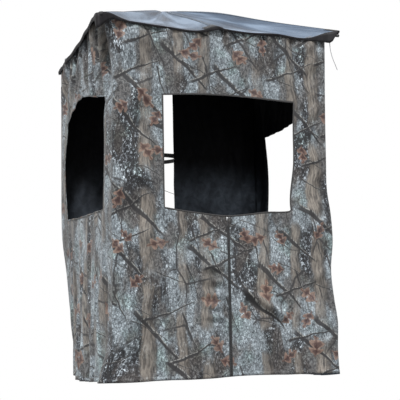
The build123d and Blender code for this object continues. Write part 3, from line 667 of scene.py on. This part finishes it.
# ---- cloth ----
def cloth(name, us, vs, place, keep=None, flip=False, uv=None, materials=FABRIC, thick=CLOTH_T):
    """A sheet on a grid: place() puts it in space, keep() says which cells are there."""
    u, v = np.meshgrid(us, vs, indexing="ij")
    x, y, z = place(u, v)
    points = np.stack([x + 0 * u, y + 0 * u, z + 0 * u], -1).reshape(-1, 3)
    printed = np.stack(uv(u, v, z) if uv else (u, v), -1).reshape(-1, 2)
    ids = np.arange(u.size).reshape(u.shape)
    quads = np.stack([ids[:-1, :-1], ids[1:, :-1], ids[1:, 1:], ids[:-1, 1:]], -1)
    if keep:
        middle_u = (us[:-1, None] + us[1:, None]) / 2 + 0 * vs[None, :-1]
        middle_v = (vs[None, :-1] + vs[None, 1:]) / 2 + 0 * us[:-1, None]
        quads = quads[keep(middle_u, middle_v)]
    quads = quads.reshape(-1, 4)
    if flip:
        quads = quads[:, ::-1]
    used, packed = np.unique(quads, return_inverse=True)
    packed = packed.reshape(-1, 4)
    mesh = bpy.data.meshes.new(name)
    mesh.from_pydata(points[used].tolist(), [], packed.tolist())
    layer = mesh.uv_layers.new(name="print")
    layer.data.foreach_set("uv", printed[used][packed.ravel()].astype(np.float32).ravel())
    mesh.polygons.foreach_set("use_smooth", [True] * len(mesh.polygons))
    for material in materials:
        mesh.materials.append(material)
    made = make(name, mesh)
    if thick:
        shell = made.modifiers.new("thickness", "SOLIDIFY")
        shell.thickness, shell.offset, shell.use_even_offset = thick, -1, False
        shell.material_offset = len(materials) - 1
        shell.material_offset_rim = 0
    return made


def fit(piece, body, slot, *nodes, fold=FOLD):
    """Put a soft piece on its body in place of its CAD nodes, giving it its own mesh if a fold is given. The
    slot is not used.
    """
    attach(piece, body)
    if fold:
        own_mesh(piece)
    if nodes:
        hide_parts(*nodes)


def fit_parted(piece, slot, *nodes):
    """Part a piece of the roof where the cabin folds. Its front half gets its own mesh, its rear stays on the
    bar.
    """
    halves = {"front": piece, "rear": piece.copy()}
    halves["rear"].data = piece.data.copy()
    bpy.context.scene.collection.objects.link(halves["rear"])
    name = piece.name
    for part, half in halves.items():
        half.name = f"{name}_{part}"
        shape = bmesh.new()
        shape.from_mesh(half.data)
        everything = shape.verts[:] + shape.edges[:] + shape.faces[:]
        bmesh.ops.bisect_plane(shape, geom=everything, plane_co=(0, SPLIT_Y, 0), plane_no=(0, 1, 0),
                               clear_inner=part == "rear", clear_outer=part == "front")
        shape.to_mesh(half.data)
        shape.free()
        if half.data.vertices:
            fit(half, "root", slot, *nodes, fold=FOLD if part == "front" else None)
        else:
            bpy.data.objects.remove(half)
    return halves


front_us = lines(STEP, -CORNER, WIN_L, ZIP_X, HINGE_R, WIN_R, CORNER)
front_vs = lines(STEP, HEM, SILL, LINTEL, WALL_TOP)


def in_window(u, v):
    return (u > WIN_L) & (u < WIN_R) & (v > SILL) & (v < LINTEL)


def in_side_window(u, v):
    return (u > SIDE_WIN[0]) & (u < SIDE_WIN[1]) & (v > SILL) & (v < LINTEL)


def in_doors(u, v):
    return (u > HINGE_L) & (u < HINGE_R) & (v < SILL)


front = cloth("front_panel", front_us, front_vs, front_wall, lambda u, v: ~in_window(u, v) & ~in_doors(u, v))
fit(front, "root", "camo", "front_wall")
for name, low, high in (("left", HINGE_L, ZIP_X), ("right", ZIP_X, HINGE_R)):
    door = cloth(f"door_panel_{name}", front_us, front_vs, front_wall,
                 lambda u, v: in_doors(u, v) & (u > low) & (u < high))
    fit(door, f"door_{name}", "camo", f"door_{name}")
    high - low

side_us = lines(STEP, FRONT, SIDE_WIN[0], SIDE_WIN[1], SPLIT_Y, REAR_Y)
for name, side in (("left", -1), ("right", 1)):
    for part, ahead in (("front", True), ("rear", False)):
        wall = cloth(
            f"side_panel_{name}_{part}", side_us, front_vs, side_wall(side),
            lambda u, v: ((u < SPLIT_Y) == ahead) & ~in_side_window(u, v),
            flip=side < 0, uv=lambda u, v, z: (side * (CORNER + u - FRONT), v))
        fit(wall, "root", "camo", f"side_wall_{name}", fold=FOLD if ahead else None)
        depth, window = (SPLIT_Y - FRONT, 0.44) if ahead else (REAR_Y - SPLIT_Y, 0)
        depth * CUT_HEIGHT - window

# ---- rear: gables under the bar and flaps either side of the trunk ----
flap_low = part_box("rear_flap_right")[0]
HINGE_AT = Vector(JOINTS["rear_flap_swing_right"]["pos_m"])
INNER_AT = Vector((flap_low.x, flap_low.y + 0.001, 0))
REAR_RUN = (Vector((HINGE_AT.x, HINGE_AT.y, 0)) - INNER_AT).length
GABLE_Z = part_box("rear_gable_right")[0].z


def rear_wall(side, gable):
    """The rear's place function: u runs from the corner to the trunk, v is the height."""
    corner = side_wall(side)

    def place(u, v):
        share = u / REAR_RUN
        x = HINGE_AT.x + (INNER_AT.x - HINGE_AT.x) * share
        y = HINGE_AT.y + (INNER_AT.y - HINGE_AT.y) * share
        z = v
        if gable:
            peak = through(share, (0, GABLE_Z + 0.004), (0.5, -0.178), (0.92, -0.008), (1, 0.002))
            z = GABLE_Z - 0.006 + (peak - GABLE_Z + 0.006) * v
        seam_x, seam_y, seam_z = corner(REAR_Y + 0 * u, np.clip(z, HEM, WALL_TOP))
        near = (1 - ease(u, 0, 0.30)) ** 1.6
        x = x + (side * seam_x - HINGE_AT.x) * near
        y = y + (seam_y - HINGE_AT.y) * near
        z = z + (seam_z - np.clip(z, HEM, WALL_TOP)) * near
        loose = ease(u, 0.02, 0.16) * ease(GABLE_Z - z, 0.0, 0.5)
        swell = 0.012 * loose * np.sin(pi * np.clip(share, 0, 1)) ** 0.7 * ease(-z, 0.8, 1.7)
        fold = waves(u, z, (0.010, 0.19, -0.12, 0.2), (0.005, 0.083, -0.20, 0.55))
        sharp = 0.010 * (hump(u + 0.10 * (z + 1.1), 0.13, 0.020) + hump(u + 0.05 * (z + 1.1), 0.20, 0.026))
        y = y - loose * (swell + np.abs(fold) * 0.8 + sharp)
        return side * x, y, z
    return place


rear_us = lines(STEP, 0, REAR_RUN)
for name, side in (("left", -1), ("right", 1)):
    def printed(u, v, z):
        return side * (CORNER + (REAR_Y - FRONT) + u), z

    gable = cloth(f"gable_panel_{name}", rear_us, lines(0.05, 0, 1), rear_wall(side, True), flip=side < 0,
                  uv=printed)
    gable.modifiers["thickness"].offset = 1
    fit(gable, "root", "camo", f"rear_gable_{name}", fold=None)
    flap = cloth(f"rear_panel_{name}", rear_us, lines(STEP, HEM, GABLE_Z - 0.006), rear_wall(side, False),
                 flip=side < 0, uv=printed)
    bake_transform(flap)
    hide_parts(f"rear_flap_{name}")

# ---- roof: cloth and hem ----
RIM_LENGTH, ROOF_RUN = 3.85, 1.2


def roof_print(a, r, z):
    return a * RIM_LENGTH, r * ROOF_RUN


roof_as = lines(0.0042, 0, TIP_L, TIP_C, TIP_R, 1)
roof_rs = lines(0.0125, 0, 1)
roof_piece = cloth("roof_sheet", roof_as, roof_rs, roof, flip=True, uv=roof_print,
                   materials=(ROOF_TOP, ROOF_UNDER))
roof_halves = fit_parted(roof_piece, "roof_cloth", "roof_canopy")


def roof_hem(a, t):
    """The rim turned down: t runs from the roof's edge to the hem's lower edge."""
    x, y, z = roof(a, 1 + 0 * a)
    drop = 0.010 + 0.070 * hump(a, TIP_L, np.where(a > TIP_L, 0.030, 0.016))
    drop = drop + 0.010 * ease(TIP_L - a, 0, 0.05) + 0.012 * hump(a, TIP_C, 0.009)
    right_dip = TIP_R - 0.016
    drop = drop + 0.052 * hump(a, right_dip, np.where(a < right_dip, 0.024, 0.009))
    inward = np.stack([-x, -0.55 - y], 0)
    inward = inward / np.linalg.norm(inward, axis=0)
    return (x + inward[0] * 0.004 * t * t, y + inward[1] * 0.004 * t * t,
            z - drop * t + 0.0015 * np.sin(a * 210) * t)


hem = cloth("roof_hem", roof_as, lines(0.25, 0, 1), roof_hem,
            uv=lambda a, t, z: (a * 4, t * 0.02), materials=(ROOF_UNDER,), thick=0.0018)
fit_parted(hem, "roof_cloth")

# ---- window flaps ----
def flap_sheet(name, body, us, hinge_z, length, surface, flip, fold):
    """A flap that hangs inside from its hinge: v runs down from the hinge."""
    made = cloth(name, us, lines(STEP, 0.0, length), lambda u, v: surface(u, hinge_z - v, ease(v, 0.0, 0.08)),
                 flip=flip, uv=lambda u, v, z: (u, v))
    fit(made, body, "camo", body, fold=fold)


def behind_front(u, z, near):
    return u, FRONT + 0.009 + 0.004 * near * (1 + np.sin(u * 33 + z * 4)), z


for name in ("left", "right"):
    low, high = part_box(f"front_flap_{name}")
    flap_sheet(f"front_flap_{name}_sheet", f"front_flap_{name}", lines(STEP, low.x, high.x), high.z,
               high.z - low.z, behind_front, False, FLAP_FOLD)


def behind_side(side):
    wall = side_wall(side)

    def place(u, z, near):
        x, y, _ = wall(u, z)
        flat = side * (CORNER + (REAR_X - CORNER) * (u - FRONT) / (REAR_Y - FRONT) - 0.009)
        inside = x - side * 0.008
        return flat + (inside - flat) * near, u + (y - u) * near, z
    return place


for name, side in (("left", -1), ("right", 1)):
    low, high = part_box(f"side_flap_{name}")
    flap_sheet(f"side_flap_{name}_sheet", f"side_flap_{name}", lines(STEP, low.y, high.y), high.z,
               high.z - low.z, behind_side(side), side < 0, FOLD)

# ---- strips, stitches and the zipper ----
def lifted(surface, height):
    """The same surface, a little way off along its outward side."""
    def place(u, v):
        e = 0.001
        near = (u, v), (u + e, v), (u, v + e)
        here, along, up = (np.stack([c + 0 * u for c in surface(*at)]) for at in near)
        normal = np.cross(along - here, up - here, axis=0)
        return here + normal / np.linalg.norm(normal, axis=0) * height
    return place


THREADS = {}
FOLDS = {"cabin": FOLD, "still": None}


def sew(body, surface, height, start, end, fold="cabin"):
    """Keep a row of stitches for later: from start to end on a surface."""
    THREADS.setdefault((body, fold), []).append((surface, height, start, end))


def bars(name, rows, pitch, size, material):
    """One mesh of small bevelled bars in rows. Size is along the row, across it, and off the surface."""
    box = np.array([(-.5, -.5, 0), (.5, -.5, 0), (.5, .5, 0), (-.5, .5, 0),
                    (-.36, -.3, 1), (.36, -.3, 1), (.36, .3, 1), (-.36, .3, 1)]) * size
    sides = np.array([(0, 3, 2, 1), (4, 5, 6, 7), (0, 1, 5, 4), (1, 2, 6, 5), (2, 3, 7, 6), (3, 0, 4, 7)])
    points, faces = [], []
    for surface, height, start, end in rows:
        start, end = np.array(start, float), np.array(end, float)
        count = int(np.linalg.norm(end - start) / pitch)
        share = (np.arange(count) + 0.5) / count
        e = 0.0005
        run = (end - start) / np.linalg.norm(end - start)
        over = np.array([-run[1], run[0]])
        at = start[:, None] + (end - start)[:, None] * share
        here, ahead, beside = (
            np.stack([c + 0 * at[0] for c in surface(*(at + step[:, None]))], -1)
            for step in (0 * run, run * e, over * e))
        t = ahead - here
        n = np.cross(t, beside - here)
        t, n = (w / np.linalg.norm(w, axis=1)[:, None] for w in (t, n))
        b = np.cross(n, t)
        n = n * (1 if height > 0 else -1)
        spots = (here[:, None] + box[None, :, :1] * t[:, None] + box[None, :, 1:2] * b[:, None]
                 + (box[None, :, 2:] + abs(height)) * n[:, None])
        first = sum(len(p) for p in points)
        order = sides if height > 0 else sides[:, ::-1]
        faces.append((order[None] + first + 8 * np.arange(count)[:, None, None]).reshape(-1, 4))
        points.append(spots.reshape(-1, 3))
    mesh = bpy.data.meshes.new(name)
    mesh.from_pydata(np.concatenate(points).tolist(), [], np.concatenate(faces).tolist())
    mesh.materials.append(material)
    made = make(name, mesh)
    return made


def strip(name, body, surface, height, us, vs, material, slot="camo", fold="cabin", seams=True):
    """A strip sewn on a surface between grid lines, with a row of stitches along each long side."""
    outward = lifted(surface, height)
    made = cloth(name, us, vs, outward, flip=height < 0, materials=(material,), thick=0.0009)
    if fold == "roof":
        fit_parted(made, slot)
    else:
        fit(made, body, slot, fold=FOLDS[fold])
    size = (us[-1] - us[0], vs[-1] - vs[0])
    min(size) > 0.01 and seams
    if seams:
        inset, top = 0.002, height + (0.00005 if height > 0 else -0.00005)
        if size[0] > size[1]:
            for v in (vs[0] + inset, vs[-1] - inset):
                sew(body, surface, top, (us[0], v), (us[-1], v), fold)
        else:
            for u in (us[0] + inset, us[-1] - inset):
                sew(body, surface, top, (u, vs[0]), (u, vs[-1]), fold)
    return made


def between(grid, low, high):
    """The grid's lines from low to high."""
    return grid[(grid >= low) & (grid <= high)]


LIFT, BIND_W, HEM_W = 0.0012, 0.008, 0.022
BIND_STEP = 0.004
CORNER_IN, DOOR_IN = 0.010, 0.016       # rows of stitches, in from a corner and from a door's side
ON_CLOTH = 0.0001
WINDOW_ROWS = between(front_vs, SILL, LINTEL)
TOP_ROWS, SILL_ROWS = lines(BIND_STEP, LINTEL, LINTEL + BIND_W), lines(BIND_STEP, SILL - BIND_W, SILL)
HEM_ROWS = lines(0.011, HEM, HEM + HEM_W)


def front_strip(name, body, us, vs, material):
    strip(name, body, front_wall, LIFT, us, vs, material)


for name, low in (("left", WIN_L - BIND_W), ("right", WIN_R)):
    front_strip(f"front_binding_{name}", "root", lines(BIND_STEP, low, low + BIND_W), WINDOW_ROWS, BINDING)
front_strip("front_binding_top", "root", between(front_us, WIN_L, WIN_R), TOP_ROWS, BINDING)
front_strip("front_binding_sill", "root", lines(STEP, HINGE_R, WIN_R), SILL_ROWS, BINDING)
front_strip("front_hem_left", "root", lines(STEP, -CORNER, HINGE_L), HEM_ROWS, CAMO)
front_strip("front_hem_right", "root", lines(STEP, HINGE_R, CORNER), HEM_ROWS, CAMO)
for name, low, high in (("left", HINGE_L, ZIP_X), ("right", ZIP_X, HINGE_R)):
    columns = between(front_us, low, high)
    door = f"door_{name}"
    front_strip(f"sill_binding_{name}", door, columns, SILL_ROWS, BINDING)
    front_strip(f"door_hem_{name}", door, columns, HEM_ROWS, CAMO)
    for u in (low + DOOR_IN, high - DOOR_IN):
        sew(door, front_wall, ON_CLOTH, (u, HEM + HEM_W), (u, SILL - BIND_W))
for side, name in ((-1, "left"), (1, "right")):
    wall, lift = side_wall(side), side * LIFT
    columns = between(side_us, *SIDE_WIN)
    for part, low in (("front", SIDE_WIN[0] - BIND_W), ("rear", SIDE_WIN[1])):
        strip(f"side_binding_{name}_{part}", "root", wall, lift, lines(BIND_STEP, low, low + BIND_W),
              WINDOW_ROWS, CAMO)
    strip(f"side_binding_{name}_top", "root", wall, lift, columns, TOP_ROWS, CAMO)
    strip(f"side_binding_{name}_sill", "root", wall, lift, columns, SILL_ROWS, CAMO)
    for part, low, high, fold in (("front", FRONT, SPLIT_Y, "cabin"), ("rear", SPLIT_Y, REAR_Y, "still")):
        run = lines(STEP, low, high)
        strip(f"side_hem_{name}_{part}", "root", wall, lift, run, HEM_ROWS, CAMO, fold=fold)
    seam_y, seam_x = FRONT + CORNER_IN, side * (CORNER - CORNER_IN)
    sew("root", wall, side * ON_CLOTH, (seam_y, HEM + HEM_W), (seam_y, WALL_TOP))
    sew("root", front_wall, ON_CLOTH, (seam_x, HEM + HEM_W), (seam_x, WALL_TOP))

TAPE_LIFT, TAPE_IN, TAPE_OUT, COIL_OUT = 0.0022, 0.0008, 0.0085, 0.0011     # tape and coil, off the middle
COIL_PITCH, COIL_SIZE = 0.0016, (0.0009, 0.0026, 0.0012)
tape_rows = lines(STEP, tape_low.z, tape_high.z)
for name, side, low in (("left", -1, ZIP_X - TAPE_OUT), ("right", 1, ZIP_X + TAPE_IN)):
    high = ZIP_X - TAPE_IN if side < 0 else ZIP_X + TAPE_OUT
    tape = strip(f"zipper_band_{name}", f"door_{name}", front_wall, TAPE_LIFT, lines(BIND_STEP, low, high),
                 tape_rows, ZIP_TAPE, slot="zipper")
    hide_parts(f"zipper_tape_{name}")
    middle = ZIP_X + side * COIL_OUT
    run = (front_wall, TAPE_LIFT, (middle, tape_low.z), (middle, tape_high.z))
    coil = bars(f"zipper_coil_{name}", [run], COIL_PITCH, COIL_SIZE, NYLON)
    fit(coil, f"door_{name}", "zipper")


def plate(name, outline, y_front, y_back, bevel, material):
    """A plate with a bevelled outline, standing in the front's plane. The outline is (x, z) points."""
    count = len(outline)
    points = [(x, y, z) for y in (y_front, y_back) for x, z in outline]
    faces = [list(range(count)), list(range(2 * count - 1, count - 1, -1))]
    faces += [(k, k + count, (k + 1) % count + count, (k + 1) % count) for k in range(count)]
    mesh = bpy.data.meshes.new(name)
    mesh.from_pydata(points, [], faces)
    mesh.polygons.foreach_set("use_smooth", [True] * len(faces))
    mesh.materials.append(material)
    made = make(name, mesh)
    edge = made.modifiers.new("edges", "BEVEL")
    edge.width, edge.segments, edge.harden_normals = bevel, 3, True
    return made


slider_low, slider_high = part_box("zipper_slider")
pull_low, pull_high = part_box("zipper_pull")
slider_x, slider_back, slider_top = (slider_low.x + slider_high.x) / 2, slider_high.y, slider_high.z
slider_w, slider_l = slider_high.x - slider_low.x, 0.020
shield = [(slider_x + x * slider_w / 2, slider_top - z * slider_l) for x, z in (
    (-0.45, 0), (0.45, 0), (0.95, 0.18), (0.98, 0.55), (0.62, 0.85), (0.55, 1), (-0.55, 1), (-0.62, 0.85),
    (-0.98, 0.55), (-0.95, 0.18))]
slider = plate("zipper_slider_body", shield, slider_back - 0.0030, slider_back, 0.0007, ZINC)
fit(slider, "zipper_slider", "zipper", "zipper_slider")
_, bail_y, bail_z = JOINTS["zipper_pull_swing"]["pos_m"]
bail_foot = slider_back - 0.0025
bail_line = spline("bail_line", [(slider_x, y, z) for y, z in (
    (bail_foot, slider_top - 0.0015), (bail_y - 0.0022, slider_top - 0.0020),
    (bail_y - 0.0026, bail_z - 0.0030), (bail_y + 0.0012, bail_z - 0.0060),
    (bail_foot, slider_top - 0.0150))], 0.0009)
bail = make("zipper_bail", as_mesh(bail_line))
bpy.data.objects.remove(bail_line)
bail.data.materials.append(ZINC)
fit(bail, "zipper_slider", "zipper")
pull_x, pull_y, pull_half = (pull_low.x + pull_high.x) / 2, pull_low.y + 0.0012, 0.0024
tab = [(pull_x + x * pull_half, bail_z - z) for x, z in (
    (-0.50, -0.0022), (0.50, -0.0022), (0.72, 0.006), (0.62, 0.013), (1.0, 0.019), (1.0, 0.038),
    (0.6, 0.0445), (-0.6, 0.0445), (-1.0, 0.038), (-1.0, 0.019), (-0.62, 0.013), (-0.72, 0.006))]
pull = plate("zipper_pull_tab", tab, pull_y - 0.0010, pull_y + 0.0010, 0.0005, NYLON)
fit(pull, "zipper_pull", "plastic", "zipper_pull")

# roof: seams over the ribs, with a patch at each tip
def roof_strip(at, half):
    """A strip from the crest to the rim, w going across it from -1 to 1."""
    def place(w, r):
        return roof(at + w * half / (0.18 + 0.82 * r), r)
    return place


SEAM_HALF, PATCH_HALF = 0.0028, 0.011
for name, at in (("left", TIP_L), ("centre", TIP_C), ("right", TIP_R)):
    over_rib = roof_strip(at, SEAM_HALF)
    strip(f"roof_seam_{name}", "root", over_rib, -0.0010, lines(0.5, -1, 1), lines(0.0125, 0.08, 1), ROOF_TOP,
          slot="roof_cloth", fold="roof", seams=False)
    for w in (-0.8, 0.8):
        sew("root", over_rib, -0.0011, (w, 0.10), (w, 0.995), "roof")
    strip(f"tip_patch_{name}", "root", roof_strip(at, PATCH_HALF), -0.0018, lines(0.25, -1, 1),
          lines(0.0125, 0.945, 1), BINDING, slot="roof_cloth", fold="roof", seams=False)
for low, high, _ in BAYS:
    sew("root", lambda r, a: roof(a, r), -ON_CLOTH, (0.988, low), (0.988, high), "roof")

STITCH_PITCH, STITCH_SIZE = 0.0055, (0.0038, 0.0007, 0.0005)
for (body, fold), rows in THREADS.items():
    thread = bars(f"stitches_{fold}_{body}", rows, STITCH_PITCH, STITCH_SIZE, THREAD)
    if fold == "roof":
        fit_parted(thread, "webbing")
    else:
        fit(thread, body, "webbing", fold=FOLDS[fold])

# ---- the carried-over CAD nodes ----
FINISH = {
    "tree_bracket": POWDER, "roof_hub": POWDER, "rear_bar": POWDER, "bracket_pads": RUBBER,
    "pivot_bolts": ZINC, "hub_crown": NYLON, "rear_bar_caps": NYLON, "upper_strap": WEBBING,
    "lower_strap": WEBBING, "rear_cross_strap": WEBBING,
}
for side in ("left", "centre", "right"):
    FINISH.update({f"rib_root_{side}": NYLON, f"rib_tube_{side}": POWDER, f"rib_tip_{side}": NYLON,
                   f"clamp_knob_{side}": NYLON})
for level_name in ("upper", "lower"):
    FINISH.update({f"{level_name}_buckle_frame": ZINC, f"{level_name}_buckle_lever": ZINC})
for name, material in FINISH.items():
    node = NODES[name]
    node.data.materials.clear()
    node.data.materials.append(material)
    if material is not WEBBING:
        edges = node.modifiers.new("edges", "BEVEL")
        edges.width, edges.segments, edges.limit_method, edges.angle_limit = 0.0005, 2, "ANGLE", 0.6

# ---- floor, sky and lights ----
FLOOR_Z, FLOOR_R = -2.8, 4.2
floor_mesh = bpy.data.meshes.new("floor")
ring = [(FLOOR_R * cos(2 * pi * k / 96), FLOOR_R * sin(2 * pi * k / 96), FLOOR_Z) for k in range(96)]
floor_mesh.from_pydata(ring, [], [range(96)])
floor = make("floor", floor_mesh)
pale = Graph("pale_floor", Roughness=0.9)
floor_mesh.materials.append(pale.finish((0.36, 0.36, 0.36)))
floor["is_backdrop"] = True

world = bpy.data.worlds.new("soft_sky")
world.use_nodes = True
world.node_tree.nodes["Background"].inputs["Color"].default_value = (1, 1, 1, 1)
bpy.context.scene.world = world
bpy.context.scene.view_settings.view_transform = "Standard"

sun = make("key_light", bpy.data.lights.new("key_light", "SUN"))
sun.data.energy, sun.data.angle = 7.5, 0.25
sun.rotation_euler = Vector((-0.44, -0.76, 1.15)).to_track_quat("Z", "Y").to_euler()

# ---- end ----
low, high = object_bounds()
